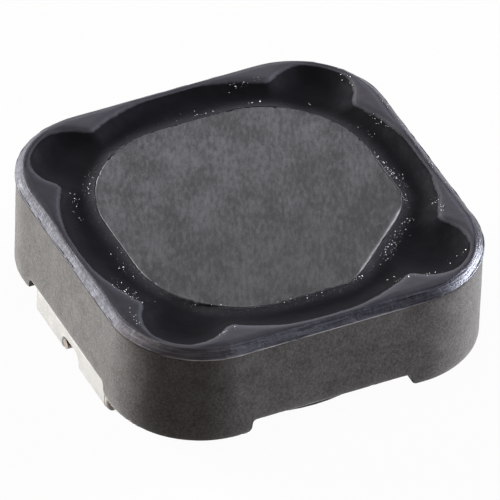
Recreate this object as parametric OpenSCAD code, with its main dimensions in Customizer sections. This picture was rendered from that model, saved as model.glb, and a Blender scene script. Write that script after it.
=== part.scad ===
// Shielded surface-mount power inductor: ferrite drum in a square ferrite ring.
// X runs from terminal to terminal, +Z is up, the terminal pads rest on z = 0.

/* [Shield core] */
// Width of the square ring across two opposite sides, mm
body_width = 12.3; // [10.5:0.1:16]
// Radius of the four upright corners, mm
corner_radius = 3; // [2.4:0.1:3.6]
// Height of the ring from its feet to its flat top, mm
shield_height = 3.6; // [3:0.1:7]
// Height of the ring's feet above the board, mm
shield_lift = 0.9; // [0.7:0.05:1.2]
// How far the chamfer of the top edge cuts inwards, mm
edge_bevel_in = 0.25; // [0.1:0.05:0.4]
// How far the same chamfer drops, mm
edge_bevel_drop = 0.28; // [0.1:0.02:0.5]
// How far the press lip under the chamfer stands out, mm
lip_out = 0.04; // [0.02:0.01:0.1]
// Height of the press lip, mm
lip_height = 0.06; // [0.03:0.01:0.15]
// Gap between a notch's end and the terminal in it, mm
notch_gap = 0.2; // [0.1:0.05:0.4]
// Height of the same notch, mm
notch_height = 0.44; // [0.3:0.02:0.6]
// Radius in the upper corners of a notch, mm
notch_corner = 0.18; // [0.1:0.02:0.25]
// Radius on the feet where a notch begins, mm
foot_corner = 0.2; // [0.1:0.02:0.25]
// Thickness of the wall at the middle of a side, mm
wall_thickness = 1; // [0.9:0.05:1.4]
// Width of the flat rim left between the chamfer and the glue mouth, mm
rim_land = 0.05; // [0.03:0.01:0.3]
// Depth at which the glue mouth meets the bore, mm
mouth_depth = 0.75; // [0.5:0.05:1]
// Diameter of a round glue pocket in a corner, mm
pocket_diameter = 2.7; // [2.2:0.05:2.75]
// Distance of a glue pocket's middle from the two nearest sides, mm
pocket_inset = 2.05; // [2.03:0.01:2.3]
// Depth of a glue pocket, mm
pocket_depth = 0.7; // [0.5:0.05:1.2]

/* [Drum core] */
// Gap between the flat sides of a flange and the bore, mm
flat_gap = 0.65; // [0.6:0.05:0.9]
// Gap between the round corners of a flange and the bore, mm
corner_gap = 0.21; // [0.16:0.01:0.3]
// Depth of the top disc under the ring's flat top, mm
disc_sink = 0.2; // [0.12:0.02:0.3]
// Thickness of a flange at its edge, mm
flange_thickness = 0.6; // [0.45:0.05:0.8]
// Diameter of the centre post, mm
post_diameter = 4.6; // [4:0.1:5.2]
// Height of the cone between a flange and the post, mm
flange_cone = 0.15; // [0.05:0.05:0.25]
// Bevel on the edges of the flanges, mm
disc_bevel = 0.05; // [0.03:0.01:0.1]
// How far the drum sits off centre along X, mm
drum_shift_x = 0.09; // [0:0.01:0.1]
// How far the drum sits off centre towards the front, mm
drum_shift_y = 0.05; // [0:0.01:0.1]
// Depth of the flat worn on one corner of the top disc, mm
corner_flat = 0.64; // [0.3:0.02:0.8]
// Direction of the same flat seen from above, degrees
corner_flat_turn = -48; // [-60:1:-30]

/* [Winding] */
// Diameter of the enamelled wire, mm
wire_diameter = 0.32; // [0.24:0.02:0.34]
// Number of layers
layer_count = 4; // [2:1:5]
// How deep neighbouring turns bed into each other, mm
turn_bedding = 0.02; // [0.01:0.01:0.04]
// Sideways place of a lead in its terminal slot, mm
lead_offset = 0.33; // [0:0.01:0.36]
// Gap between a lead's end and the top of its terminal slot, mm
lead_top_gap = 0.08; // [0.04:0.01:0.15]
// Bend radius of a lead, along its middle, mm
lead_bend = 0.28; // [0.22:0.01:0.32]
// Clearance of a lead from the bore and from the drum, mm
lead_clearance = 0.1; // [0.05:0.01:0.12]
// Clearance of a lead in the base's slot, mm
slot_clearance = 0.02; // [0.01:0.01:0.05]

/* [Base] */
// Width of the glue line between the base plate and the bore, mm
glue_line_width = 0.15; // [0.1:0.01:0.3]
// How far a terminal stands out past each side of its tongue, mm
tongue_inset = 0.06; // [0.02:0.02:0.15]
// Diameter of the shallow recess under the base, mm
recess_diameter = 5; // [3:0.5:6]
// Depth of the same recess, mm
recess_depth = 0.2; // [0.1:0.05:0.4]
// Height of the glue line between base and ring, mm
glue_line_height = 0.2; // [0.1:0.02:0.26]

/* [Terminals] */
// Width of a terminal, mm
terminal_width = 5; // [4.4:0.1:5.1]
// Thickness of the tinned sheet, mm
sheet_thickness = 0.15; // [0.1:0.01:0.18]
// How far a terminal's face lies behind the ring's side, mm
terminal_recess = 0.16; // [0.1:0.02:0.3]
// Outer radius of the bends, mm
terminal_bend = 0.36; // [0.3:0.02:0.4]
// Length of a solder pad, mm
pad_length = 2.3; // [2:0.1:2.8]
// Length of a terminal's upper limb, mm
upper_limb = 0.9; // [0.7:0.1:0.95]
// Width of the slot in a terminal, mm
slot_width = 1.2; // [1.1:0.1:1.3]
// Height of the slot's top above the board, mm
slot_height = 0.73; // [0.7:0.01:0.8]
// Radius of the slot's upper corners, mm
slot_corner = 0.3; // [0.1:0.05:0.4]
// Distance of the slot's round end from the terminal's face, mm
slot_reach = 1; // [0.9:0.05:1.05]

/* [Solder and glue] */
// How far a solder joint covers the middle of its lead, mm
solder_cover = 0.03; // [0:0.01:0.08]
// Depth of a solder joint behind the pad's surface, mm
solder_back = 0.04; // [0.02:0.01:0.08]
// Diameter of the glue bead beside the left terminal, mm
bead_diameter = 0.54; // [0.4:0.02:0.6]
// Height of the bead's lowest point above the board, mm
bead_lowest = 0.26; // [0.2:0.02:0.4]
// Distance of the bead's middle from the terminal's face, mm
bead_setback = 0.18; // [0.1:0.02:0.3]
// Depth of the glue surface under the mouth's rim, mm
glue_drop = 0.03; // [0.02:0.01:0.06]
// How far the glue surface stays under the disc, mm
disc_glue_drop = 0.04; // [0.02:0.01:0.06]
// Depth of the groove in the glue surface below its edge at the disc, mm
glue_groove = 0.08; // [0.04:0.02:0.16]
// Sag of the glue surface in a pocket, mm
pocket_sag = 0.2; // [0.1:0.02:0.24]

/* [Hidden] */
$fn = 96;
through = 1;
half_width = body_width / 2;
shield_top = shield_lift + shield_height;
notch_top = shield_lift + notch_height;
notch_width = terminal_width + 2 * notch_gap;
bore_radius = half_width - wall_thickness;
mouth_radius = half_width - edge_bevel_in - rim_land;
mouth_floor = shield_top - mouth_depth;
mouth_slope = (mouth_radius - bore_radius) / mouth_depth;
pocket_radius = pocket_diameter / 2;
pocket_offset = half_width - pocket_inset;
pocket_floor = shield_top - pocket_depth;
lip_bottom = shield_top - edge_bevel_drop - lip_height;
drum_bottom = notch_top - sheet_thickness;
drum_top = shield_top - disc_sink;
flange_half = bore_radius - flat_gap;
flange_diagonal = bore_radius - corner_gap;
flange_corner = (flange_half * sqrt(2) - flange_diagonal) / (sqrt(2) - 1);
corner_flat_reach = flange_diagonal - corner_flat;
post_radius = post_diameter / 2;
flange_inner_top = drum_top - flange_thickness;
flange_inner_bottom = drum_bottom + flange_thickness;
wire_radius = wire_diameter / 2;
turn_pitch = wire_diameter - turn_bedding;
window_height = flange_inner_top - flange_inner_bottom - 2 * flange_cone;
turn_count = floor((window_height + turn_bedding) / turn_pitch);
coil_height = turn_count * turn_pitch;
coil_bottom = (flange_inner_top + flange_inner_bottom - coil_height) / 2;
coil_radius = post_radius + layer_count * turn_pitch;
lead_start_height = coil_bottom + wire_radius;
lead_end_height = slot_height - lead_top_gap - wire_radius;
lead_reach = bore_radius - lead_clearance - wire_radius;
terminal_face = half_width - terminal_recess;
tongue_end = terminal_face - sheet_thickness;
tongue_width = terminal_width - 2 * tongue_inset;
inner_bend = terminal_bend - sheet_thickness;
slot_end = terminal_face - slot_reach;
slot_radius = slot_width / 2;
lead_room = slot_radius - wire_radius - slot_clearance;
lead_slot_limit = lead_reach + sqrt(max(0, lead_room * lead_room - lead_offset * lead_offset));
base_slot_end = min(slot_end, lead_slot_limit);
base_radius = bore_radius - glue_line_width;
solder_height = lead_end_height + solder_cover;
glue_top = shield_top - glue_drop;
glue_rim_radius = mouth_radius - glue_drop * mouth_slope;
disc_glue_top = drum_top - disc_glue_drop;
glue_inner_radius = min(flange_half - drum_shift_x, corner_flat_reach);
groove_side = (glue_rim_radius - glue_inner_radius) / 3;
groove_floor = disc_glue_top - glue_groove;
pool_radius = pocket_radius + glue_drop;
pool_sphere = (pool_radius * pool_radius + pocket_sag * pocket_sag) / (2 * pocket_sag);
bead_radius = bead_diameter / 2;
bead_x = bead_setback - terminal_face;
bead_y = -terminal_width / 2 - bead_radius * 0.9;

// A square with round corners.
module rounded_square(width, radius) {
    inner = width / 2 - radius;
    square([width, 2 * inner], center = true);
    square([2 * inner, width], center = true);
    for (x = [-inner, inner], y = [-inner, inner])
        translate([x, y])
            circle(r = radius);
}

// A slab with round corners and a bevelled edge: four cones and two tapered bars between them.
module bevelled_slab(half, radius, bevel_in, bevel_drop) {
    inner = half - radius;
    for (x = [-inner, inner], y = [-inner, inner])
        translate([x, y, 0])
            cylinder(r1 = radius, r2 = radius - bevel_in, h = bevel_drop);
    for (turn = [0, 90])
        rotate([90, 0, turn])
            linear_extrude(height = 2 * inner, center = true)
                polygon([[-half, 0], [half, 0], [half - bevel_in, bevel_drop],
                         [bevel_in - half, bevel_drop]]);
}

// Outline of a notch seen from the side: round upper corners, and a round edge on both feet.
module notch_outline() {
    upper = notch_width / 2 - notch_corner;
    flare = notch_width / 2 + foot_corner;
    translate([-notch_width / 2, 0])
        square([notch_width, notch_height - notch_corner]);
    translate([-upper, 0])
        square([2 * upper, notch_height]);
    for (x = [-upper, upper])
        translate([x, notch_height - notch_corner])
            circle(r = notch_corner);
    difference() {
        translate([-flare, -through])
            square([2 * flare, foot_corner + through]);
        for (x = [-flare, flare])
            translate([x, foot_corner])
                circle(r = foot_corner);
        for (side = [-1, 1])
            translate([side * flare - foot_corner, -through])
                square([2 * foot_corner, through]);
    }
}

// Everything the ring leaves open inside: bore, glue mouth and glue pockets.
module shield_opening() {
    translate([0, 0, shield_lift - through])
        cylinder(r = bore_radius, h = shield_height + 2 * through);
    translate([0, 0, mouth_floor])
        cylinder(r1 = bore_radius, r2 = mouth_radius + mouth_slope * through,
                 h = mouth_depth + through);
    for (x = [-pocket_offset, pocket_offset], y = [-pocket_offset, pocket_offset])
        translate([x, y, pocket_floor])
            cylinder(r = pocket_radius, h = pocket_depth + through);
}

module shield_core() {
    color("dimgray")
        difference() {
            union() {
                translate([0, 0, shield_lift])
                    linear_extrude(height = shield_height - edge_bevel_drop)
                        rounded_square(body_width, corner_radius);
                translate([0, 0, lip_bottom])
                    linear_extrude(height = lip_height)
                        rounded_square(body_width + 2 * lip_out, corner_radius + lip_out);
                translate([0, 0, shield_top - edge_bevel_drop])
                    bevelled_slab(half_width, corner_radius, edge_bevel_in, edge_bevel_drop);
            }
            shield_opening();
            for (turn = [0, 90])
                translate([0, 0, shield_lift])
                    rotate([90, 0, turn])
                        linear_extrude(height = 2 * body_width, center = true)
                            notch_outline();
        }
}

// The block that grinds the worn flat off the top disc.
module corner_flat_block() {
    rotate([0, 0, corner_flat_turn])
        translate([corner_flat_reach, -bore_radius, flange_inner_top - through])
            cube([bore_radius, 2 * bore_radius, flange_thickness + 2 * through]);
}

// A full-height block with the outline of the flanges, bevelled on its outer edges.
module flange_block() {
    translate([0, 0, drum_bottom + disc_bevel])
        linear_extrude(height = drum_top - drum_bottom - 2 * disc_bevel)
            rounded_square(2 * flange_half, flange_corner);
    translate([0, 0, drum_top - disc_bevel])
        bevelled_slab(flange_half, flange_corner, disc_bevel, disc_bevel);
    translate([0, 0, drum_bottom + disc_bevel])
        mirror([0, 0, 1])
            bevelled_slab(flange_half, flange_corner, disc_bevel, disc_bevel);
}

module drum_core() {
    color("gray")
        translate([drum_shift_x, -drum_shift_y, 0])
            difference() {
                intersection() {
                    flange_block();
                    rotate_extrude()
                        polygon([[0, drum_bottom], [bore_radius, drum_bottom],
                                 [bore_radius, flange_inner_bottom],
                                 [post_radius, flange_inner_bottom + flange_cone],
                                 [post_radius, flange_inner_top - flange_cone],
                                 [bore_radius, flange_inner_top],
                                 [bore_radius, drum_top], [0, drum_top]]);
                }
                corner_flat_block();
            }
}

// One lead: straight out of the coil, down beside the flange, and out into the terminal slot.
module lead() {
    upright_top = lead_start_height - lead_bend;
    upright_bottom = lead_end_height + lead_bend;
    inner_end = coil_radius - wire_diameter;
    translate([-lead_reach + lead_bend, 0, lead_start_height])
        rotate([0, 90, 0])
            cylinder(r = wire_radius, h = lead_reach - lead_bend - inner_end);
    translate([-lead_reach + lead_bend, 0, upright_top])
        rotate([90, 0, 0])
            rotate([0, 0, 90])
                rotate_extrude(angle = 90)
                    translate([lead_bend, 0])
                        circle(r = wire_radius);
    translate([-lead_reach, 0, upright_bottom])
        cylinder(r = wire_radius, h = upright_top - upright_bottom);
    translate([-lead_reach - lead_bend, 0, upright_bottom])
        rotate([90, 0, 0])
            rotate([0, 0, -90])
                rotate_extrude(angle = 90)
                    translate([lead_bend, 0])
                        circle(r = wire_radius);
    translate([-terminal_face, 0, lead_end_height])
        rotate([0, 90, 0])
            cylinder(r = wire_radius, h = terminal_face - lead_reach - lead_bend);
}

module winding() {
    color("chocolate") {
        translate([drum_shift_x, -drum_shift_y, coil_bottom])
            rotate_extrude() {
                translate([post_radius, 0])
                    square([coil_radius - wire_radius - post_radius, coil_height]);
                for (turn = [0 : turn_count - 1])
                    translate([coil_radius - wire_radius, (turn + 0.5) * turn_pitch])
                        circle(r = wire_radius);
            }
        translate([0, lead_offset, 0])
            lead();
        translate([0, -lead_offset, 0])
            rotate([0, 0, 180])
                lead();
    }
}

// The open channel of a slot, cut from outside towards the middle, with a round inner end.
module slot_channel(end, height) {
    translate([-end, 0, -through])
        cylinder(r = slot_radius, h = height + through);
    translate([-end, -slot_radius, -through])
        mirror([1, 0, 0])
            cube([half_width - end + through, slot_width, height + through]);
}

module base() {
    color("black")
        difference() {
            union() {
                translate([0, 0, sheet_thickness])
                    cylinder(r = base_radius, h = drum_bottom - sheet_thickness);
                rotate([90, 0, 0])
                    linear_extrude(height = tongue_width, center = true)
                        polygon([[-tongue_end + inner_bend, sheet_thickness],
                                 [tongue_end - inner_bend, sheet_thickness],
                                 [tongue_end, sheet_thickness + inner_bend],
                                 [tongue_end, drum_bottom - inner_bend],
                                 [tongue_end - inner_bend, drum_bottom],
                                 [-tongue_end + inner_bend, drum_bottom],
                                 [-tongue_end, drum_bottom - inner_bend],
                                 [-tongue_end, sheet_thickness + inner_bend]]);
            }
            for (turn = [0, 180])
                rotate([0, 0, turn])
                    slot_channel(base_slot_end, drum_bottom + through);
            translate([0, 0, sheet_thickness - through])
                cylinder(d = recess_diameter, h = recess_depth + through);
        }
}

// Side view of a clip: a sheet bent round the tongue, open towards the middle.
module clip_outline(inset) {
    radius = terminal_bend - inset;
    left = inset - terminal_face;
    low = inset;
    high = notch_top - inset;
    depth = pad_length + through;
    translate([left, low + radius])
        square([depth, high - low - 2 * radius]);
    translate([left + radius, low])
        square([depth - radius, high - low]);
    for (z = [low + radius, high - radius])
        translate([left + radius, z])
            circle(r = radius);
}

module clip() {
    difference() {
        rotate([90, 0, 0])
            linear_extrude(height = terminal_width, center = true)
                difference() {
                    clip_outline(0);
                    clip_outline(sheet_thickness);
                    translate([pad_length - terminal_face, -through])
                        square([2 * pad_length, notch_top + 2 * through]);
                    translate([upper_limb - terminal_face, notch_top / 2])
                        square([2 * pad_length, notch_top]);
                }
        slot_channel(slot_end, slot_height - slot_corner);
        translate([-terminal_face - through, 0, 0])
            rotate([90, 0, 90])
                linear_extrude(height = 2 * through) {
                    translate([-slot_radius + slot_corner, 0])
                        square([slot_width - 2 * slot_corner, slot_height]);
                    for (y = [-slot_radius + slot_corner, slot_radius - slot_corner])
                        translate([y, slot_height - slot_corner])
                            circle(r = slot_corner);
                }
    }
}

module terminal_left() {
    color("silver")
        clip();
}

module terminal_right() {
    color("silver")
        rotate([0, 0, 180])
            clip();
}

module top_adhesive() {
    color("black")
        difference() {
            intersection() {
                shield_opening();
                translate([-half_width, -half_width, pocket_floor])
                    cube([body_width, body_width, glue_top - pocket_floor]);
            }
            translate([drum_shift_x, -drum_shift_y, 0])
                difference() {
                    translate([0, 0, pocket_floor - through])
                        linear_extrude(height = pocket_depth + 2 * through)
                            rounded_square(2 * flange_half, flange_corner);
                    corner_flat_block();
                }
            rotate_extrude()
                polygon([[glue_inner_radius, disc_glue_top],
                         [glue_inner_radius + groove_side, groove_floor],
                         [glue_rim_radius - groove_side, groove_floor],
                         [glue_rim_radius, glue_top], [glue_rim_radius, glue_top + through],
                         [glue_inner_radius, glue_top + through]]);
            for (x = [-pocket_offset, pocket_offset], y = [-pocket_offset, pocket_offset])
                translate([x, y, glue_top - pocket_sag + pool_sphere])
                    sphere(r = pool_sphere);
        }
}

module base_adhesive() {
    color("saddlebrown")
        translate([0, 0, drum_bottom - glue_line_height])
            difference() {
                cylinder(r = bore_radius, h = glue_line_height);
                translate([0, 0, -through])
                    cylinder(r = base_radius, h = glue_line_height + 2 * through);
                translate([-half_width, -terminal_width / 2, -through])
                    cube([body_width, terminal_width, glue_line_height + 2 * through]);
            }
}

module solder_joint() {
    difference() {
        translate([-slot_end, 0, solder_back])
            cylinder(r = slot_radius, h = solder_height - solder_back);
        translate([0, lead_offset, 0])
            lead();
    }
}

module solder_left() {
    color("lightgray")
        solder_joint();
}

module solder_right() {
    color("lightgray")
        rotate([0, 0, 180])
            solder_joint();
}

module seat_bead() {
    color("tan")
        difference() {
            translate([bead_x, bead_y, bead_lowest + bead_radius]) {
                sphere(r = bead_radius);
                cylinder(r = bead_radius, h = shield_lift - bead_lowest - bead_radius);
            }
            translate([-half_width, -terminal_width / 2, 0])
                cube([half_width, terminal_width, shield_lift]);
        }
}

shield_core();
drum_core();
winding();
base();
terminal_left();
terminal_right();
top_adhesive();
base_adhesive();
solder_left();
solder_right();
seat_bead();
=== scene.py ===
import math
import bmesh
import bpy
import numpy as np
from mathutils import Matrix, Vector


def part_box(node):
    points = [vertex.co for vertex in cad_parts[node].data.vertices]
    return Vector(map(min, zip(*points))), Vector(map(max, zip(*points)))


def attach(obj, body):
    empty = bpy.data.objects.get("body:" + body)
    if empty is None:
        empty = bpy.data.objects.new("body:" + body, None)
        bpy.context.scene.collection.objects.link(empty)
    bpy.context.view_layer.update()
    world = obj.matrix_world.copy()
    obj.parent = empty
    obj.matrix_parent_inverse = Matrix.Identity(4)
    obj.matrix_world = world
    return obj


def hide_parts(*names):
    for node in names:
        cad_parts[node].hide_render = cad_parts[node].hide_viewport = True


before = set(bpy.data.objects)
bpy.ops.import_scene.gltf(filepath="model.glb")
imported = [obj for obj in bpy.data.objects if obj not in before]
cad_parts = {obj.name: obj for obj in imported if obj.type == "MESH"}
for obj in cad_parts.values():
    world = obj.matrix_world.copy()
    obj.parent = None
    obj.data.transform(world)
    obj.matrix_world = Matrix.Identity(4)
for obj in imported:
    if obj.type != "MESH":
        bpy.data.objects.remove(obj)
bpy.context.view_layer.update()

mm = 0.001

# degrees, azimuth 0 looks along +Y; metres; lens and sensor in mm
view = dict(azimuth=-26.741, elevation=39.986, roll=1.991, distance=0.319940, lift=0.0009,
            slideRight=0.000122, slideUp=0.001237, lens=743.97, sensor=36, clip=(0.01, 10))


def makeCamera():
    # back points from the part to the camera; right and up are level and upright axes, rolled
    azimuth, elevation, roll = (math.radians(view[key]) for key in ("azimuth", "elevation", "roll"))
    back = Vector((math.sin(azimuth) * math.cos(elevation),
                   -math.cos(azimuth) * math.cos(elevation), math.sin(elevation)))
    level = Vector((math.cos(azimuth), math.sin(azimuth), 0))
    upright = back.cross(level)
    right = level * math.cos(roll) + upright * math.sin(roll)
    up = upright * math.cos(roll) - level * math.sin(roll)
    place = back * view["distance"] + right * view["slideRight"] + up * view["slideUp"]
    place.z += view["lift"]
    data = bpy.data.cameras.new("camera")
    data.lens = view["lens"]
    data.sensor_width = view["sensor"]
    data.clip_start, data.clip_end = view["clip"]
    camera = bpy.data.objects.new("camera", data)
    bpy.context.scene.collection.objects.link(camera)
    turn = Matrix((right, up, back)).transposed()
    camera.matrix_world = Matrix.Translation(place) @ turn.to_4x4()
    bpy.context.scene.camera = camera
    print("camera placed")


makeCamera()


def softNoise(points, size, seed=0):
    # random values on a lattice, blended smoothly between the eight nearest corners, -1 to 1
    entries = 8192   # length of the table of random values
    spreadX, spreadY, spreadZ = 73856093, 19349663, 83492791   # scatter neighbours over the table
    cell = np.asarray(points) / size
    low = np.floor(cell).astype(np.int64)
    part = cell - low
    part = part * part * (3 - 2 * part)
    values = np.random.default_rng(seed).uniform(-1, 1, entries)
    total = 0
    for corner in range(8):
        bits = np.array([corner & 1, corner >> 1 & 1, corner >> 2 & 1])
        a, b, c = np.moveaxis(low + bits, -1, 0)
        weight = np.prod(np.where(bits, part, 1 - part), axis=-1)
        total = total + weight * values[(a * spreadX ^ b * spreadY ^ c * spreadZ) % entries]
    return total


def layeredNoise(points, size, seed, layers=3):
    # each further layer is half the size and half the height
    return sum(softNoise(points, size / 2 ** k, seed + k) / 2 ** k for k in range(layers))


def softMin(a, b, width):
    # the lower of two heights, with a parabola of this width where they cross
    near = np.clip(0.5 + 0.5 * (b - a) / width, 0, 1)
    return b * (1 - near) + a * near - width * near * (1 - near)


def fade(value, full):
    # rises in proportion from 0 at 0 to 1 at full
    return np.clip(value / full, 0, 1)


def circle(turn):
    # points of the unit circle
    return np.stack((np.cos(turn), np.sin(turn)), -1)


def squareInset(x, y, half, corner):
    # how far a point lies inside a square with round corners, negative outside
    qx = np.abs(x) - (half - corner)
    qy = np.abs(y) - (half - corner)
    return corner - np.hypot(np.maximum(qx, 0), np.maximum(qy, 0)) - np.minimum(np.maximum(qx, qy), 0)


def squareRadius(turn, half, corner):
    # distance from the middle of such a square to its edge in a direction: straight or on an arc
    c, s = np.abs(np.cos(turn)), np.abs(np.sin(turn))
    c, s = np.maximum(c, s), np.minimum(c, s)
    inner = half - corner
    onArc = inner * (c + s) + np.sqrt(np.maximum(inner ** 2 * ((c + s) ** 2 - 2) + corner ** 2, 0))
    return np.where(half * s / c <= inner, half / c, onArc)


def makePiece(name, points, finish, stands, closedRows=True, layers=None):
    # points in mm, rows x columns x 3: the columns close round, the rows close or end in two poles
    rows, columns = points.shape[:2]
    index = np.arange(rows * columns).reshape(rows, columns)
    low, high = (index, np.roll(index, -1, 0)) if closedRows else (index[:-1], index[1:])
    quads = np.stack((low, np.roll(low, -1, 1), np.roll(high, -1, 1), high), -1).reshape(-1, 4)
    vertices = points.reshape(-1, 3)
    faces = quads.tolist()
    if not closedRows:
        vertices = np.vstack((vertices, points[0].mean(0), points[-1].mean(0)))
        first, last = index[0], index[-1]
        pole = np.full(columns, rows * columns)
        faces += np.stack((pole, np.roll(first, -1), first), -1).tolist()
        faces += np.stack((last, np.roll(last, -1), pole + 1), -1).tolist()
    mesh = bpy.data.meshes.new(name)
    mesh.from_pydata((vertices * mm).tolist(), [], faces)
    mesh.polygons.foreach_set("use_smooth", np.ones(len(faces), bool))
    for key, values in (layers or {}).items():
        kind, field = ("FLOAT_VECTOR", "vector") if values.ndim == 3 else ("FLOAT", "value")
        flat = np.zeros((len(vertices), *values.shape[2:]), np.float32)
        flat[:rows * columns] = values.reshape(rows * columns, *values.shape[2:])
        if not closedRows:
            flat[-2:] = values[0].mean(0), values[-1].mean(0)
        mesh.attributes.new(key, kind, "POINT").data.foreach_set(field, flat.ravel())
    return placePiece(name, mesh, finish, stands)


def placePiece(name, mesh, finish, stands=()):
    # the piece rides on the body and takes the place of the CAD nodes that it stands for
    piece = bpy.data.objects.new(name, mesh)
    bpy.context.scene.collection.objects.link(piece)
    mesh.materials.clear()
    mesh.materials.append(finish.material)
    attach(piece, "root")
    if stands:
        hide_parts(*stands)
    print(name, len(mesh.polygons), "faces")
    return piece


class Value:   # a socket on which Python arithmetic can be done: each step adds a Math node
    def __init__(self, finish, out):
        self.finish, self.out = finish, out

    def maths(self, operation, *terms):
        return self.finish.add("ShaderNodeMath", dict(operation=operation), terms)

    def __add__(self, other):
        return self.maths("ADD", self, other)

    def __radd__(self, other):
        return self.maths("ADD", other, self)

    def __sub__(self, other):
        return self.maths("SUBTRACT", self, other)

    def __rsub__(self, other):
        return self.maths("SUBTRACT", other, self)

    def __mul__(self, other):
        return self.maths("MULTIPLY", self, other)

    def __rmul__(self, other):
        return self.maths("MULTIPLY", other, self)

    def step(self, low, high):   # 0 below low, 1 above high, smooth between
        return self.finish.add("ShaderNodeMapRange", dict(interpolation_type="SMOOTHSTEP"),
                               [self, low, high, 0.0, 1.0])


class Finish:   # a material, the record's slot it stands for, and the nodes in it
    def __init__(self, name, slot=None, **constants):
        self.slot = slot
        self.material = bpy.data.materials.new(name)
        self.material.use_nodes = True
        self.tree = self.material.node_tree
        self.shader = self.tree.nodes["Principled BSDF"]
        for key, value in constants.items():
            self.shader.inputs[key.replace("_", " ")].default_value = value
        self.place = self.add("ShaderNodeTexCoord", pick="Object")

    def add(self, kind, settings=None, inputs=(), pick=0):   # a node: type, settings, then sockets
        node = self.tree.nodes.new(kind)
        for key, value in (settings or {}).items():
            setattr(node, key, value)
        for key, value in (inputs.items() if isinstance(inputs, dict) else enumerate(inputs)):
            if isinstance(value, Value):
                self.tree.links.new(value.out, node.inputs[key])
            else:
                node.inputs[key].default_value = value
        return Value(self, node.outputs[pick])

    def layer(self, name, pick="Fac"):   # values stored on the mesh under this name
        return self.add("ShaderNodeAttribute", dict(attribute_name=name), pick=pick)

    def turned(self, degrees, stretch=(1, 1, 1)):   # object coordinates turned about Z, then stretched
        turned = self.add("ShaderNodeMapping", dict(vector_type="POINT"),
                          {"Vector": self.place, "Rotation": (0, 0, math.radians(degrees))})
        return self.add("ShaderNodeMapping", dict(vector_type="POINT"),
                        {"Vector": turned, "Scale": stretch})

    def axis(self, name, at=None):   # one coordinate, in metres
        return self.add("ShaderNodeSeparateXYZ", inputs=[at or self.place], pick=name)

    def noise(self, size, detail=3.0, roughness=0.55, at=None):   # size in metres
        return self.add("ShaderNodeTexNoise", {}, {"Vector": at or self.place, "Scale": 1 / size,
                                                   "Detail": detail, "Roughness": roughness})

    def mix(self, factor, low, high):   # between two colours
        low, high = (v if isinstance(v, Value) else (*v, 1) for v in (low, high))
        return self.add("ShaderNodeMix", dict(data_type="RGBA"), {0: factor, 6: low, 7: high}, pick=2)

    def feed(self, **sockets):
        for key, value in sockets.items():
            self.tree.links.new(value.out, self.shader.inputs[key.replace("_", " ")])

    def bump(self, height, distance, strength=0.5):
        self.feed(Normal=self.add("ShaderNodeBump", {}, {"Height": height, "Distance": distance,
                                                         "Strength": strength}))


def refinish(node, finish):   # the CAD node keeps its mesh and takes the finish
    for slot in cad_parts[node].material_slots:
        slot.material = finish.material


# the shield ring, in mm: heights count from the frame's box, depths and noise from its own faces
ringLow, ringHigh = (np.array(v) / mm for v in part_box("shield_core"))
ring = dict(lipOut=0.04, lipBottom=ringHigh[2] - 0.34, lipTop=ringHigh[2] - 0.28, chamferSlope=1.12,
            corner=3.0, bore=5.15, mouth=5.85, mouthFloor=ringHigh[2] - 0.75,
            pocket=1.35, pocketAt=4.1, pocketFloor=ringHigh[2] - 0.7, coatDepth=0.2,
            notch=2.7, notchHeight=0.44, notchCorner=0.18, notchDraft=0.01, footCorner=0.2, edge=0.07,
            roofColumns=24, arcColumns=9, cornerColumns=50,
            edgeRows=5, wallRows=35, topRows=26, boreRows=12, floorRows=6, overlap=0.01,
            wave=0.004, waveSize=0.9, grain=0.002, grainSize=0.07, inside=0.004, insideSize=0.12,
            nick=0.05, nickSize=0.22, nickRare=0.45, nickRise=0.07, paleRise=0.1)
ring["half"] = ringHigh[0] - ring["lipOut"]

# the drum core, in mm about its own axis; its top disc has one worn flat
drumLow, drumHigh = (np.array(v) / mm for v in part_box("drum_core"))
drum = dict(half=(drumHigh[0] - drumLow[0]) / 2, corner=3.44, post=2.3, flange=0.6, cone=0.15,
            flatReach=4.3, flatTurn=math.radians(-48), flatSoft=0.5, leastCosine=0.05,
            columns=480, sideRows=9, bevelRows=6, faceRows=62, faceCrowd=1.15,
            at=((drumHigh[0] + drumLow[0]) / 2, (drumHigh[1] + drumLow[1]) / 2),
            edge=0.05, rubbed=0.1, rubbedFull=0.3, rubbedRun=0.1, edgeRun=0.06, topOnly=0.2,
            nickSize=0.16, nickRare=0.25, nickIn=0.05, nickDown=0.03, wave=0.004, waveSize=0.8)


def outerInset(x, y):
    # how far a point lies inside the ring's outer wall
    return squareInset(x, y, ring["half"], ring["corner"])


def pocketDistance(x, y):
    # distance to the middle of the nearest corner pocket
    return np.hypot(np.abs(x) - ring["pocketAt"], np.abs(y) - ring["pocketAt"])


def bareTop(x, y):
    # the flat top, lowered by the coat's depth, cut by chamfer, conical mouth and round pockets
    chamfer = ring["lipTop"] + outerInset(x, y) * ring["chamferSlope"]
    z = np.minimum(ringHigh[2], chamfer) - ring["coatDepth"]
    steep = (ringHigh[2] - ring["mouthFloor"]) / (ring["mouth"] - ring["bore"])
    z = np.minimum(z, ring["mouthFloor"] + (np.hypot(x, y) - ring["bore"]) * steep)
    inPocket = pocketDistance(x, y) < ring["pocket"]
    return np.where(inPocket, np.minimum(z, ring["pocketFloor"]), z)


def discRadius(turn, worn=True):
    # the flange's outline: a square with very round corners, cut by the worn flat's straight line
    radius = squareRadius(turn, drum["half"], drum["corner"])
    across = np.maximum(np.cos(turn - drum["flatTurn"]), drum["leastCosine"])
    return softMin(radius, drum["flatReach"] / across, drum["flatSoft"]) if worn else radius


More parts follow.
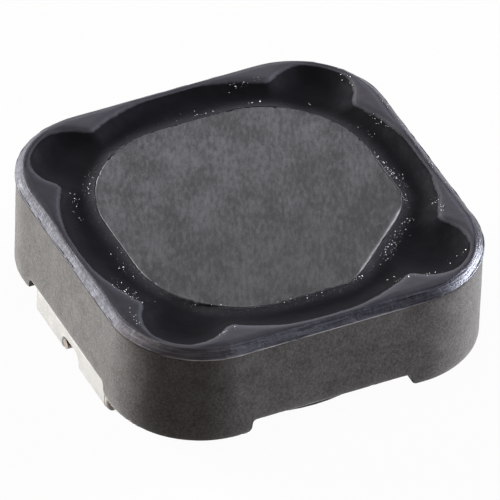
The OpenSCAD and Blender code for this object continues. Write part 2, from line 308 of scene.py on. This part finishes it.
# the black coat, in mm: a film over the ring's top that pools round the disc and in the pockets
coat = dict(crest=0.012, crestSoft=0.28, crestLift=0.01, dish=0.25, rise=0.25, riseRun=0.75,
            climb=0.066, climbUneven=0.016, climbSize=1.6, climbRun=0.2,
            pocketDish=0.3, pocketPower=3.2, soft=0.22,
            wave=0.007, waveSize=0.7, ripple=0.0016, rippleSize=0.09,
            columns=760, rimRows=15, rimTo=0.34, slopeRows=6, slope=(0.37, 0.5), poolRows=53, underEvery=4,
            lipMean=0.82, lipUneven=0.13, lipSize=0.35, lipWander=0.014,
            lip=[(0.0, -0.02), (0.6, -0.012), (1, 0.01), (1, 0.03), (0.85, 0.05), (0.3, 0.062)],
            tuck=[(0.03, drumHigh[2] - 0.1), (0.04, drumHigh[2] - 0.3), (0.04, ring["pocketFloor"] + 0.02)],
            floorGap=0.02, streakLong=1.4, streakWide=0.06,
            poolFrom=0.03, poolFull=0.08, shoreFrom=0.3, shoreFull=0.12, lipEdgeFrom=0.015,
            lipEdgeFull=0.03, lipEdgeInset=0.02)


def coatTop(x, y, discGap):
    # the lowest of crest, ring trough and pocket dishes, blended where they cross; the trough
    # climbs as a power of the distance to the mouth's rim and clings to the disc's edge
    top = ringHigh[2] - coat["crest"]
    chamfer = ring["lipTop"] + coat["crestLift"] + outerInset(x, y) * ring["chamferSlope"]
    crest = softMin(top, chamfer, coat["crestSoft"])
    rim = ring["mouth"] - np.hypot(x, y)
    uneven = softNoise(np.stack((x, y, 0 * x), -1), coat["climbSize"], 5)
    climb = coat["climb"] + coat["climbUneven"] * uneven
    trough = (top - coat["dish"] + coat["rise"] * np.maximum(1 - rim / coat["riseRun"], 0) ** 2
              + climb * np.exp(-np.maximum(discGap, 0) / coat["climbRun"]))
    q = pocketDistance(x, y) / ring["pocket"]
    dish = top - coat["pocketDish"] + coat["pocketDish"] * q ** coat["pocketPower"]
    return softMin(softMin(crest, trough, coat["soft"]), dish, coat["soft"])


def makeCoat(finish):
    # a section carried round the outline: up over the lip, in over the top to the disc, down its
    # side, and back out underneath, just above the ring and the pockets' floors
    turn = np.linspace(0, 2 * np.pi, coat["columns"], endpoint=False)
    outer = circle(turn) * squareRadius(turn, ring["half"], ring["corner"])[:, None]
    inner = circle(turn) * discRadius(turn)[:, None] + drum["at"]
    run = np.linalg.norm(inner - outer, axis=1)
    near = np.concatenate((np.linspace(0, coat["rimTo"], coat["rimRows"]),
                           np.linspace(*coat["slope"], coat["slopeRows"])))
    far = np.linspace(0, 1, coat["poolRows"] + 1)[1:]
    reach = np.vstack((np.repeat(near[:, None], len(turn), 1),
                       near[-1] + (run - near[-1]) * far[:, None]))
    wander = layeredNoise(np.c_[outer, outer[:, :1] * 0], coat["lipSize"], 3)
    lipShare, lipHeight = np.array(coat["lip"]).T[..., None]
    lipReach = -lipShare * ring["lipOut"] * (coat["lipMean"] + coat["lipUneven"] * wander)
    tuckReach, tuckHeight = np.array(coat["tuck"]).T[..., None]
    reach = np.vstack((lipReach, reach, run + tuckReach, reach[::-coat["underEvery"]]))
    place = outer + (inner - outer) / run[:, None] * reach[..., None]
    x, y = place[..., 0], place[..., 1]
    gap = run - reach
    flat = np.stack((x, y, x * 0), -1)
    z = coatTop(x, y, gap)
    z += (coat["wave"] * layeredNoise(flat, coat["waveSize"], 11)
          + coat["ripple"] * softNoise(flat, coat["rippleSize"], 17))
    z = np.minimum(z, ringHigh[2])
    z[:len(lipHeight)] = ring["lipBottom"] + lipHeight + coat["lipWander"] * wander
    tuck = len(lipHeight) + len(near) + len(far)
    under = tuck + len(tuckHeight)
    z[tuck:under] = tuckHeight
    z[under:] = np.maximum(bareTop(x, y), ring["pocketFloor"] + coat["floorGap"])[under:]
    z[-1] = ring["lipBottom"] - coat["floorGap"]
    inset = outerInset(x, y)
    alongWall = outer / coat["streakLong"]
    flow = np.stack(np.broadcast_arrays(alongWall[:, 0], alongWall[:, 1], inset / coat["streakWide"]), -1)
    pooled = (fade(ringHigh[2] - z - coat["poolFrom"], coat["poolFull"])
              * fade(inset - coat["shoreFrom"], coat["shoreFull"]))
    lipEdge = (fade(ring["lipTop"] - coat["lipEdgeFrom"] - z, coat["lipEdgeFull"])
               * (inset < coat["lipEdgeInset"]))
    return makePiece("topCoat", np.stack((x, y, z), -1), finish, ["top_adhesive"],
                     layers=dict(flow=flow, inset=inset, discGap=gap, pooled=pooled, lipEdge=lipEdge))


def ringColumns():
    # outer and bore points of each upright section, and the height of its foot: across a side the
    # feet follow the notch, straight, round its corner and up; round a corner they are level
    foot = ringLow[2]
    roof = foot + ring["notchHeight"]
    notch, notchCorner, footCorner = ring["notch"], ring["notchCorner"], ring["footCorner"]
    arc = np.linspace(0, np.pi / 2, ring["arcColumns"])
    level = np.linspace(0, notch - notchCorner, ring["roofColumns"])[:-1]
    y = np.concatenate((level, notch - notchCorner + notchCorner * np.sin(arc),
                        notch + ring["notchDraft"] + footCorner - footCorner * np.cos(arc),
                        [ring["half"] - ring["corner"]]))
    z = np.concatenate((np.full(len(level), roof), roof - notchCorner + notchCorner * np.cos(arc),
                        foot + footCorner - footCorner * np.sin(arc), [foot]))
    y = np.concatenate((-y[:0:-1], y))
    z = np.concatenate((z[:0:-1], z))
    outer = np.stack((np.full(len(y), ring["half"]), y), -1)
    bore = np.stack((np.sqrt(ring["bore"] ** 2 - y ** 2), y), -1)
    inner = ring["half"] - ring["corner"]
    cornerTurn = np.linspace(0, np.pi / 2, ring["cornerColumns"])[1:-1]
    low = math.asin(inner / ring["bore"])
    boreTurn = low + (np.pi / 2 - 2 * low) * cornerTurn / (np.pi / 2)
    outer = np.vstack((outer, inner + ring["corner"] * circle(cornerTurn)))
    bore = np.vstack((bore, ring["bore"] * circle(boreTurn)))
    z = np.concatenate((z, np.full(len(cornerTurn), foot)))
    quarter = np.array(((0, 1), (-1, 0)))
    turns = [np.linalg.matrix_power(quarter, k) for k in range(4)]
    return np.vstack([outer @ t for t in turns]), np.vstack([bore @ t for t in turns]), np.tile(z, 4)


def makeRing(finish):
    # each section: round foot edge, outer wall, top under the coat, bore wall, round foot edge,
    # underside; waves and pressed grain move the outer wall, and nicks eat its lower edge
    outer, bore, foot = ringColumns()
    run = np.linalg.norm(bore - outer, axis=1)
    way = (bore - outer) / run[:, None]
    edge, lipOut = ring["edge"], ring["lipOut"]
    arc = np.linspace(0, np.pi / 2, ring["edgeRows"])[:, None]
    up = np.linspace(0, 1, ring["wallRows"] + 1)[1:, None]
    across = np.linspace(0, 1, ring["topRows"])[:, None]
    down = np.linspace(0, 1, ring["boreRows"] + 2)[1:-1, None]
    floor = np.linspace(0, 1, ring["floorRows"] + 2)[1:-1, None]
    one = np.ones(len(run))
    reach = np.vstack((edge * (1 - np.sin(arc)) * one, 0 * up * one, lipOut + (run - lipOut) * across,
                       run * (1 + 0 * down), run - edge * (1 - np.cos(arc)),
                       run - edge - (run - 2 * edge) * floor))
    place = outer + way * reach[..., None]
    wallEnd = len(arc) + len(up)
    topEnd = wallEnd + len(across)
    wallTop = ring["lipBottom"] - ring["overlap"]
    z = np.vstack((foot + edge * (1 - np.cos(arc)), foot + edge + (wallTop - foot - edge) * up,
                   bareTop(place[..., 0], place[..., 1])[wallEnd:topEnd],
                   ring["mouthFloor"] + (foot + edge - ring["mouthFloor"]) * down,
                   foot + edge * (1 - np.sin(arc)), foot + 0 * floor))
    z[wallEnd] = ring["lipBottom"] + ring["overlap"]
    points = np.concatenate((place, z[..., None]), -1)
    wall = points[:wallEnd].copy()
    rare = np.clip(softNoise(wall, ring["nickSize"], 31) - ring["nickRare"], 0, 1)
    nick = rare * np.exp(-(z[:wallEnd] - foot) / ring["nickRise"])
    skin = (ring["wave"] + ring["wave"] * layeredNoise(wall, ring["waveSize"], 21)
            + ring["grain"] * softNoise(wall, ring["grainSize"], 27) + ring["nick"] * nick)
    points[:wallEnd, :, :2] += way * skin[..., None]
    z[topEnd:] += ring["inside"] * softNoise(points[topEnd:], ring["insideSize"], 33)
    points[..., 2] = z
    # how near the foot a point is, for the finish's painted highlight along the foot edges
    footEdgeHighlight = np.exp(-np.maximum(z - foot, 0) / ring["paleRise"])
    return makePiece("shieldRing", points, finish, ["shield_core"], layers=dict(footEdgeHighlight=footEdgeHighlight))


def makeDrum(finish):
    # rings about the drum's axis: under face, edge, waist, upper flange, edge, top face; nicks eat
    # the top edge, and the bevel widens along the worn flat
    turn = np.linspace(0, 2 * np.pi, drum["columns"], endpoint=False)
    plain, worn = discRadius(turn, False), discRadius(turn)
    bottom, top = drumLow[2], drumHigh[2]
    lowTop, highFoot = bottom + drum["flange"], top - drum["flange"]
    bevel, post, cone = drum["edge"], drum["post"], drum["cone"]
    flatness = fade(plain - worn, drum["rubbedFull"])
    rub = bevel + drum["rubbed"] * flatness
    rows = [(plain * s, bottom) for s in (0.1, 0.4, 0.7, 0.9, 0.97)]
    rows += [(plain - bevel * (1 - math.sin(a)), bottom + bevel * (1 - math.cos(a)))
             for a in (0, 0.5, 1, 1.57)]
    rows += [(plain, bottom + (lowTop - bottom) * s) for s in (0.4, 0.7, 1)]
    rows += [(plain * (1 - s) + post * s, lowTop + cone * s) for s in (0.3, 0.7, 1)]
    rows += [(worn * (1 - s) + post * s, highFoot - cone * s) for s in (1, 0.7, 0.3, 0)]
    rows += [(worn, highFoot + (top - bevel - highFoot) * s) for s in np.linspace(0.1, 1, drum["sideRows"])]
    rows += [(worn - rub * (1 - math.cos(a)), top - bevel + bevel * math.sin(a))
             for a in np.linspace(0.25, 1.57, drum["bevelRows"])]
    face = len(rows)
    inward = np.linspace(0.006, 0.985, drum["faceRows"]) ** drum["faceCrowd"]   # closer at the rim
    rows += [((worn - rub) * s, top) for s in 1 - inward]
    radius = np.array([np.broadcast_to(r, turn.shape) for r, _ in rows])
    z = np.array([np.broadcast_to(h, turn.shape) for _, h in rows])
    outline = np.c_[circle(turn) * worn[:, None], 0 * turn]
    nick = np.clip(layeredNoise(outline, drum["nickSize"], 41) - drum["nickRare"], 0, 1)
    nearTop = z > top - drum["topOnly"]
    # these masks also carry the finish's painted highlights on the edge and along the worn flat
    rubbed = flatness * np.exp(-np.abs(worn - bevel - radius) / drum["rubbedRun"]) * nearTop
    edge = np.exp(-np.maximum(worn - radius, 0) / drum["edgeRun"]) * nearTop
    radius = radius - drum["nickIn"] * nick * edge
    points = np.concatenate((circle(turn) * radius[..., None] + drum["at"], z[..., None]), -1)
    z[face:] -= drum["wave"] + drum["wave"] * layeredNoise(points[face:], drum["waveSize"], 45)
    z -= drum["nickDown"] * nick * edge
    points[..., 2] = z
    return makePiece("drumBobbin", points, finish, ["drum_core"], closedRows=False,
                     layers=dict(edge=edge, rubbed=rubbed))


# clips and base: angles in degrees, bevel widths in mm, merge distance in metres
edges = dict(terminal=0.025, base=0.05, segments=2, merge=1e-7, flat=0.3, sharp=35, bevelled=40)


def softEdges(name, node, width, finish):
    # a merged copy of the CAD node, its flat faces joined, with every sharp edge rounded
    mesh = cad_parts[node].data.copy()
    shape = bmesh.new()
    shape.from_mesh(mesh)
    bmesh.ops.remove_doubles(shape, verts=shape.verts, dist=edges["merge"])
    bmesh.ops.dissolve_limit(shape, angle_limit=math.radians(edges["flat"]),
                             verts=shape.verts, edges=shape.edges)
    bmesh.ops.recalc_face_normals(shape, faces=shape.faces)
    shape.to_mesh(mesh)
    shape.free()
    mesh.shade_smooth()
    mesh.set_sharp_from_angle(angle=math.radians(edges["sharp"]))
    piece = placePiece(name, mesh, finish, [node])
    bevel = piece.modifiers.new("edges", "BEVEL")
    bevel.width = width * mm
    bevel.segments = edges["segments"]
    bevel.limit_method = "ANGLE"
    bevel.angle_limit = math.radians(edges["bevelled"])
    bevel.harden_normals = True


# a solder joint's profile from its underside to its top: radius and height over the board in mm
solder = dict(profile=[(0.1, 0.075), (0.35, 0.07), (0.5, 0.055), (0.57, 0.045), (0.595, 0.06),
                       (0.6, 0.2), (0.597, 0.36), (0.57, 0.43), (0.5, 0.465), (0.38, 0.49),
                       (0.22, 0.51), (0.08, 0.52)],
              columns=64, wobble=0.012, wobbleSize=0.8, stretch=3)


def makeSolder(side, finish):
    # the profile turned about an upright axis, with a radius that varies by a little noise
    node = "solder_" + side
    low, high = (np.array(v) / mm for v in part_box(node))
    way = circle(np.linspace(0, 2 * np.pi, solder["columns"], endpoint=False))
    radius, height = (np.array(v)[:, None] for v in zip(*solder["profile"]))
    spots = np.stack(np.broadcast_arrays(way[:, 0], way[:, 1], height * solder["stretch"]), -1)
    uneven = 1 + solder["wobble"] * layeredNoise(spots, solder["wobbleSize"], 51, layers=2)
    across = (low + high)[:2] / 2 + way * (radius * uneven)[..., None]
    points = np.concatenate((across, np.broadcast_to(height, uneven.shape)[..., None]), -1)
    makePiece("joint_" + side, points, finish, [node], closedRows=False)


# the glue bead, as shares of its node's box, and its lumps in mm
bead = dict(rows=30, columns=48, ends=1.5, blunt=0.6, width=0.93, topWider=0.04, height=0.98,
            lump=0.02, lumpSize=0.3)


def makeBead(finish):
    # an uneven drop hanging from the foot: an egg shape, wider at its top where it wets the ring
    low, high = (np.array(v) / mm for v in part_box("seat_bead"))
    mid, half = (low + high) / 2, (high - low) / 2
    up = np.linspace(-bead["ends"], bead["ends"], bead["rows"])[:, None]
    turn = np.linspace(0, 2 * np.pi, bead["columns"], endpoint=False)
    size = np.cos(up) ** bead["blunt"] * (bead["width"] + bead["topWider"] * np.sin(up))
    points = np.stack((mid[0] + half[0] * size * np.cos(turn), mid[1] + half[1] * size * np.sin(turn),
                       mid[2] + bead["height"] * half[2] * np.sin(up) + 0 * turn), -1)
    lumps = bead["lump"] * layeredNoise(points, bead["lumpSize"], 61)[..., None]
    points += lumps * (points - mid) / half[0]
    makePiece("gluedBead", np.clip(points, low, high), finish, ["seat_bead"], closedRows=False)


# dust and ferrite crumbs lie in lines: from x, y to x, y, how far they stray, how many
dust = dict(small=0.005, large=0.024, largeRare=3, stand=0.3, headroom=1.3, jags=(0.55, 1.25),
            squeeze=(0.6, 1.3), flattened=(1, 1, 0.7), seed=7, lines=[
    (4.72, 0.75, 4.72, -0.2, 0.05, 26), (4.7, -0.1, 4.9, -1.1, 0.09, 60),
    (4.6, -1.4, 4.5, -2.0, 0.05, 22), (4.3, -2.3, 2.6, -3.85, 0.05, 34),
    (4.35, -2.5, 2.75, -3.98, 0.1, 70), (2.6, -4.1, 1.3, -4.55, 0.05, 18),
    (-4.65, 2.75, -5.2, 1.3, 0.09, 30), (-3.6, 3.7, -4.4, 2.4, 0.1, 26),
    (-0.9, 4.62, 1.3, 4.6, 0.04, 12), (-0.8, 4.9, 0.9, 4.75, 0.1, 8),
    (1.8, 5.3, 3.0, 5.35, 0.1, 24), (2.1, 4.6, 2.9, 4.35, 0.06, 6),
    (4.75, 2.2, 5.0, 1.2, 0.12, 20), (5.35, 2.5, 5.5, 1.5, 0.06, 20),
    (5.28, -2.1, 5.35, -2.75, 0.06, 30), (5.5, 3.3, 5.35, 4.9, 0.07, 22),
    (3.9, 3.8, 3.95, 3.95, 0.05, 5), (-5.5, -1.6, -4.95, -2.9, 0.16, 56),
    (-5.5, -3.0, -5.6, -4.0, 0.06, 16), (-3.5, -3.5, -2.5, -4.1, 0.05, 14),
    (-2.4, -4.4, 1.0, -4.75, 0.04, 24), (-3.6, -5.4, -2.8, -5.15, 0.05, 12),
    (2.2, -4.95, 4.2, -5.45, 0.09, 20), (3.3, -5.35, 5.1, -4.6, 0.06, 16),
    (5.9, 0.8, 6.05, -2.2, 0.05, 22), (5.95, 3.2, 6.05, 1.2, 0.05, 12),
    (-4.9, 0.5, -4.7, -2.0, 0.14, 22)])


def makeDust(finish):
    # each crumb: a twenty-sided grain, squeezed at random, resting on the surface below it
    rand = np.random.default_rng(dust["seed"])
    lines = np.array(dust["lines"])
    which = np.repeat(np.arange(len(lines)), lines[:, 5].astype(int))
    along = rand.uniform(0, 1, len(which))[:, None]
    xy = lines[which, :2] * (1 - along) + lines[which, 2:4] * along
    xy += rand.normal(0, 1, xy.shape) * lines[which, 4:5]
    away = xy - drum["at"]
    gap = np.hypot(*away.T) - discRadius(np.arctan2(away[:, 1], away[:, 0]))
    big = rand.uniform(0, 1, len(xy)) ** dust["largeRare"]
    size = dust["small"] + (dust["large"] - dust["small"]) * big
    z = np.where(gap > 0, coatTop(*xy.T, gap), drumHigh[2] - drum["wave"])
    z = np.minimum(z + dust["stand"] * size, ringHigh[2] - dust["headroom"] * size)
    shape = bmesh.new()
    bmesh.ops.create_icosphere(shape, subdivisions=1, radius=1)
    grain = np.array([v.co for v in shape.verts])
    sides = np.array([[v.index for v in f.verts] for f in shape.faces])
    shape.free()
    grains = grain * rand.uniform(*dust["jags"], (len(xy), len(grain), 1)) * size[:, None, None]
    grains *= rand.uniform(*dust["squeeze"], (len(xy), 1, 3)) * dust["flattened"]
    grains += np.column_stack((xy, z))[:, None]
    faces = sides + np.arange(len(xy))[:, None, None] * len(grain)
    mesh = bpy.data.meshes.new("dustGrains")
    mesh.from_pydata((grains.reshape(-1, 3) * mm).tolist(), [], faces.reshape(-1, 3).tolist())
    placePiece("dustGrains", mesh, finish)


# finishes: colours from dark to pale, noise sizes in metres
# foot: a painted highlight along the ring's foot edges, where they face the floor
ferrite = dict(dark=(0.03, 0.026, 0.024), pale=(0.07, 0.067, 0.066), foot=(0.15, 0.145, 0.138),
               blotch=0.0007, grain=0.00009, pit=0.00004)


def firedFerrite():
    # grey by blotches and grain, paler along the foot edges as a painted highlight where they face the
    # floor; bump: grain less small pits
    finish = Finish("firedFerrite", "shield_ferrite", Specular_IOR_Level=0.05,
                    Sheen_Weight=0.5, Sheen_Roughness=0.3)
    blotch = finish.noise(ferrite["blotch"], 4, 0.6)
    grain = finish.noise(ferrite["grain"], 3, 0.7)
    pit = finish.noise(ferrite["pit"], 1).step(0.62, 0.8)
    tone = (blotch * 0.35 + grain * 0.65).step(0.32, 0.68)
    body = finish.mix(tone, ferrite["dark"], ferrite["pale"])
    # painted highlight: the foot colour mixed in along the foot edges
    finish.feed(Base_Color=finish.mix(finish.layer("footEdgeHighlight") * 0.5, body, ferrite["foot"]),
                Roughness=0.46 - grain * 0.16)
    finish.bump(grain - pit * 0.8, 0.000014)
    return finish


# the chamfer's streak colours: darker than the top as painted shade, the paler streaks painted highlights;
# the front streak colours: a painted highlight at the front corner; the lip colours: near black as the
# painted shadow line under the coat's edge, pale as a painted highlight in the middle of the front
epoxy = dict(top=(0.044, 0.042, 0.049), leftTop=(0.027, 0.026, 0.031),
             shadeAndStreakHighlights=[(0.01, 0.009, 0.012), (0.034, 0.033, 0.042)],
             frontHighlightStreaks=[(0.04, 0.034, 0.037), (0.11, 0.1, 0.105)],
             lip=[(0.002, 0.002, 0.002), (0.3, 0.285, 0.29)],
             pool=[(0.005, 0.0047, 0.0058), (0.015, 0.015, 0.0175)],
             cloud=0.0005, rough=0.00018, fleck=0.00006)


def blackCoat():
    # colour: the chamfer darker than the top as painted shade, with paler streaks as painted
    # highlights, paler at the front corner as a painted highlight, a lip painted near black as the
    # shadow line under the coat's edge and paler in the middle of the front as a painted highlight, a
    # top darker at its left end, and pools with dust flecks near the disc; roughness: clouds, dust,
    # streaks that shine more to the right, the lip, and a dull band along the pools' shores
    finish = Finish("blackCoat", "black_epoxy", Specular_IOR_Level=0.3,
                    Specular_Tint=(0.82, 0.84, 1, 1))
    streak = finish.noise(1, 3, 0.6, at=finish.layer("flow", "Vector"))
    cloud = finish.noise(epoxy["cloud"], 4, 0.6)
    rough = finish.noise(epoxy["rough"], 4, 0.7)
    fleck = finish.noise(epoxy["fleck"], 2).step(0.62, 0.72)
    x, y = finish.axis("X"), finish.axis("Y")
    chamfer = 1 - finish.layer("inset").step(0.2, 0.34)
    nearDisc = 1 - finish.layer("discGap").step(0.05, 0.55)
    pooled = (finish.layer("pooled") + rough * 0.5).step(0.3, 1.0)
    lip = finish.layer("lipEdge")
    leftEnd = 1 - x.step(-0.0056, -0.003)
    toRight = x.step(-0.006, 0.006)
    # painted highlight: the chamfer paler towards the front corner
    frontCornerHighlight = 1 - (x + y).step(-0.0106, -0.0088)
    # painted highlight: the lip paler in streaks along the middle of the front
    lipHighlight = x.step(-0.0058, -0.0046) * (1 - x.step(0.001, 0.004)) * streak.step(0.25, 0.5)
    bright = streak.step(0.35, 0.7)
    # the chamfer darker than the top as painted shade, with paler streaks as painted highlights
    slope = finish.mix(frontCornerHighlight, finish.mix(bright, *epoxy["shadeAndStreakHighlights"]),
                       finish.mix(bright, *epoxy["frontHighlightStreaks"]))
    body = finish.mix(chamfer, finish.mix(leftEnd, epoxy["top"], epoxy["leftTop"]), slope)
    # the lip near black as the painted shadow line under the coat's edge
    body = finish.mix(lip, body, finish.mix(lipHighlight, *epoxy["lip"]))
    pool = finish.mix(nearDisc * (0.35 + fleck * 0.65), *epoxy["pool"])
    finish.feed(Base_Color=finish.mix(pooled, body, pool),
                Roughness=0.24 + cloud * 0.16 + nearDisc * 0.22
                + chamfer * (streak * 0.3 + rough * 0.4 - 0.04 - toRight * 0.3)
                + lip * 0.5 + 2 * pooled * (1 - pooled))
    finish.bump(cloud * 0.6 + chamfer * (streak * 1.2 + rough * 0.9) + fleck * nearDisc * 0.5,
                0.00003, 0.6)
    return finish


# dark and pale: each a back colour and a darker front colour, painted shade; edge and rubbed: painted
# highlights on the disc's edge and on the bevel along the worn flat
ground = dict(dark=[(0.018, 0.018, 0.0195), (0.009, 0.009, 0.0098)],
              pale=[(0.07, 0.069, 0.076), (0.042, 0.041, 0.045)],
              spot=(0.028, 0.028, 0.029), edge=(0.11, 0.11, 0.118), rubbed=(0.34, 0.34, 0.36),
              blotches=0.001, spots=0.0005, scratches=0.00012, grain=0.000035)


def groundFerrite():
    # grey by blotches, scratches and grain, darker to the front as painted shade, with flat spots, a
    # painted highlight along the edge that follows the blotches, and a painted highlight on the rubbed
    # bevel along the flat; bump: scratches and grain
    finish = Finish("groundFerrite", "drum_ferrite")
    blotch = finish.noise(ground["blotches"], 4, 0.6, at=finish.turned(23, (1, 0.7, 1)))
    spot = finish.noise(ground["spots"], 5, 0.72, at=finish.turned(52, (0.7, 1, 1))).step(0.5, 0.7)
    scratch = finish.noise(ground["scratches"], 4, 0.75, at=finish.turned(-65, (0.35, 1, 1)))
    grain = finish.noise(ground["grain"], 3, 0.8)
    tone = (blotch * 0.26 + scratch * 0.4 + grain * 0.34).step(0.41, 0.6)
    # painted shade: the disc darker towards the front
    paintedShadeToFront = 1 - finish.axis("Y").step(-0.005, 0.005)
    # painted highlight along the disc's edge, broken up by the blotches
    worn = (2 * finish.layer("edge") * blotch).step(0.9, 1.4)
    # painted highlight on the bevel along the worn flat
    rubbed = (finish.layer("rubbed") * (blotch + 0.4)).step(0.3, 1)
    body = finish.mix(tone, finish.mix(paintedShadeToFront, *ground["dark"]), finish.mix(paintedShadeToFront, *ground["pale"]))
    body = finish.mix(spot * 0.3, body, ground["spot"])
    body = finish.mix(worn, body, ground["edge"])
    finish.feed(Base_Color=finish.mix(rubbed, body, ground["rubbed"]), Roughness=0.5 + grain * 0.2)
    finish.bump(scratch * 0.5 + grain * 0.5, 0.00001)
    return finish


tinned = dict(tones=[(0.33, 0.325, 0.31), (0.5, 0.49, 0.475)], cloud=0.0006, roll=0.00012)


def mattTin():
    # clouds and fine rolling lines along X move the grey, the roughness and the bump
    finish = Finish("mattTin", "tinned_sheet", Metallic=0.75)
    cloud = finish.noise(tinned["cloud"], 4, 0.6)
    roll = finish.noise(tinned["roll"], 2, 0.6, at=finish.turned(0, (0.08, 1, 1)))
    finish.feed(Base_Color=finish.mix(cloud * 0.6 + roll * 0.4, *tinned["tones"]),
                Roughness=0.34 + cloud * 0.2)
    finish.bump(roll * 0.6 + cloud * 0.4, 0.000008)
    return finish


alloy = dict(tones=[(0.4, 0.39, 0.38), (0.66, 0.65, 0.63)], ripple=0.0003)


def solderJoint():
    # one ripple moves the grey, the roughness and the bump
    finish = Finish("solderJoint", "solder", Metallic=0.8)
    ripple = finish.noise(alloy["ripple"], 3, 0.5)
    finish.feed(Base_Color=finish.mix(ripple, *alloy["tones"]), Roughness=0.28 + ripple * 0.25)
    finish.bump(ripple, 0.00003)
    return finish


wire = dict(enamel=[(0.32, 0.1, 0.04), (0.5, 0.2, 0.09)], end=[(0.16, 0.13, 0.11), (0.34, 0.3, 0.27)],
            sheen=0.00025, tinnedFrom=(0.0047, 0.0052))


def enamelledWire():
    # copper under enamel; past a distance from the middle the leads' ends are bare and tinned
    finish = Finish("enamelledWire", "copper_wire", Metallic=0.7)
    sheen = finish.noise(wire["sheen"], 3, 0.5)
    x = finish.axis("X")
    end = x.maths("ABSOLUTE", x).step(*wire["tinnedFrom"])
    finish.feed(Base_Color=finish.mix(end, finish.mix(sheen, *wire["enamel"]),
                                      finish.mix(sheen, *wire["end"])),
                Roughness=0.25 + sheen * 0.15 + end * 0.2)
    return finish


plastic = dict(tones=[(0.014, 0.014, 0.015), (0.04, 0.039, 0.038)], flow=0.0011, fleck=0.00006,
               grain=0.00012)


def baseMoulding():
    # black plastic with flow marks drawn out across the plate and fine flecks of filler; bump: grain
    finish = Finish("baseMoulding", "base_moulding", Specular_IOR_Level=0.2)
    flow = finish.noise(plastic["flow"], 4, 0.6, at=finish.turned(35, (1, 0.3, 1)))
    fleck = finish.noise(plastic["fleck"], 2).step(0.6, 0.75)
    finish.feed(Base_Color=finish.mix(flow * 0.7 + fleck * 0.3, *plastic["tones"]),
                Roughness=0.42 + flow * 0.2)
    finish.bump(finish.noise(plastic["grain"], 3), 0.00001)
    return finish


resin = dict(tones=[(0.13, 0.11, 0.095), (0.26, 0.225, 0.195)], lump=0.0002)


def warmGreyGlue():
    # lumps move the warm grey, the roughness and the bump
    finish = Finish("warmGreyGlue", "clear_epoxy")
    lump = finish.noise(resin["lump"], 3, 0.6)
    finish.feed(Base_Color=finish.mix(lump, *resin["tones"]), Roughness=0.35 + lump * 0.3)
    finish.bump(lump, 0.00003)
    return finish


crumb = dict(tones=[(0.2, 0.2, 0.21), (0.75, 0.75, 0.76)], patch=0.00006)


def paleDust():
    # patches of about a crumb's size are grey or nearly white
    finish = Finish("paleDust", "shield_ferrite")
    patch = finish.noise(crumb["patch"], 1)
    finish.feed(Base_Color=finish.mix(patch.step(0.35, 0.65), *crumb["tones"]),
                Roughness=0.6 + patch * 0.2)
    return finish


makeCoat(blackCoat())
makeRing(firedFerrite())
makeDrum(groundFerrite())
tin, joint, glue = mattTin(), solderJoint(), warmGreyGlue()
for side in ("left", "right"):
    softEdges("terminal" + side.title(), "terminal_" + side, edges["terminal"], tin)
    makeSolder(side, joint)
softEdges("basePlate", "base", edges["base"], baseMoulding())
makeBead(glue)
makeDust(paleDust())
refinish("winding", enamelledWire())
refinish("base_adhesive", glue)
print("pieces finished")

# lamps are softboxes aimed just above the pads: place and size in metres, power in watts
studio = dict(sky=0.05, aim=(0, 0, 0.003), floorHalf=2, floorDrop=-2e-5, floorGlow=0.96,
              floorColour=(0.34, 0.31, 0.29, 1), lamps=[
    ("softboxLeft", (-0.27, 0.40, 0.09), (0.18, 0.14), 12.0, (1, 0.99, 0.975)),
    ("softboxRight", (0.475, -0.067, 0.095), (0.34, 0.15), 13.0, (0.93, 0.955, 1)),
    ("cardFront", (-0.337, -0.157, 0.335), (0.2, 0.15), 0.4, (1, 1, 1))])


def makeLamp(name, place, size, power, colour):
    # a rectangle of light that faces the aim point
    data = bpy.data.lights.new(name, "AREA")
    data.shape = "RECTANGLE"
    data.size, data.size_y = size
    data.energy = power
    data.color = colour
    lamp = bpy.data.objects.new(name, data)
    bpy.context.scene.collection.objects.link(lamp)
    lamp.location = place
    lamp.rotation_euler = (Vector(studio["aim"]) - Vector(place)).to_track_quat("-Z", "Y").to_euler()


def makeFloor():
    # white to the camera and in reflections, pale paper to the light; just below the pads
    half, drop = studio["floorHalf"], studio["floorDrop"]
    corners = [(-half, -half, drop), (half, -half, drop), (half, half, drop), (-half, half, drop)]
    mesh = bpy.data.meshes.new("floor")
    mesh.from_pydata(corners, [], [(0, 1, 2, 3)])
    floor = bpy.data.objects.new("floor", mesh)
    bpy.context.scene.collection.objects.link(floor)
    paper = Finish("whitePaper", Base_Color=studio["floorColour"], Roughness=0.9)
    rays = paper.add("ShaderNodeLightPath", pick="Is Camera Ray")
    for kind in ("Is Glossy Ray", "Is Transmission Ray"):
        rays = rays + paper.add("ShaderNodeLightPath", pick=kind)
    glow = paper.add("ShaderNodeEmission", {}, {"Color": (1, 1, 1, 1), "Strength": 1.0})
    surface = Value(paper, paper.shader.outputs[0])
    both = paper.add("ShaderNodeMixShader", {}, {0: rays * studio["floorGlow"], 1: surface, 2: glow})
    paper.tree.links.new(both.out, paper.tree.nodes["Material Output"].inputs["Surface"])
    mesh.materials.append(paper.material)


def makeStudio():
    # a faint even sky, the lamps and the floor
    world = bpy.data.worlds.new("studio")
    bpy.context.scene.world = world
    world.use_nodes = True
    sky = world.node_tree.nodes["Background"]
    sky.inputs["Color"].default_value = (1, 1, 1, 1)
    sky.inputs["Strength"].default_value = studio["sky"]
    bpy.context.scene.view_settings.view_transform = "Standard"
    for lamp in studio["lamps"]:
        makeLamp(*lamp)
    makeFloor()
    print("studio lit")


makeStudio()
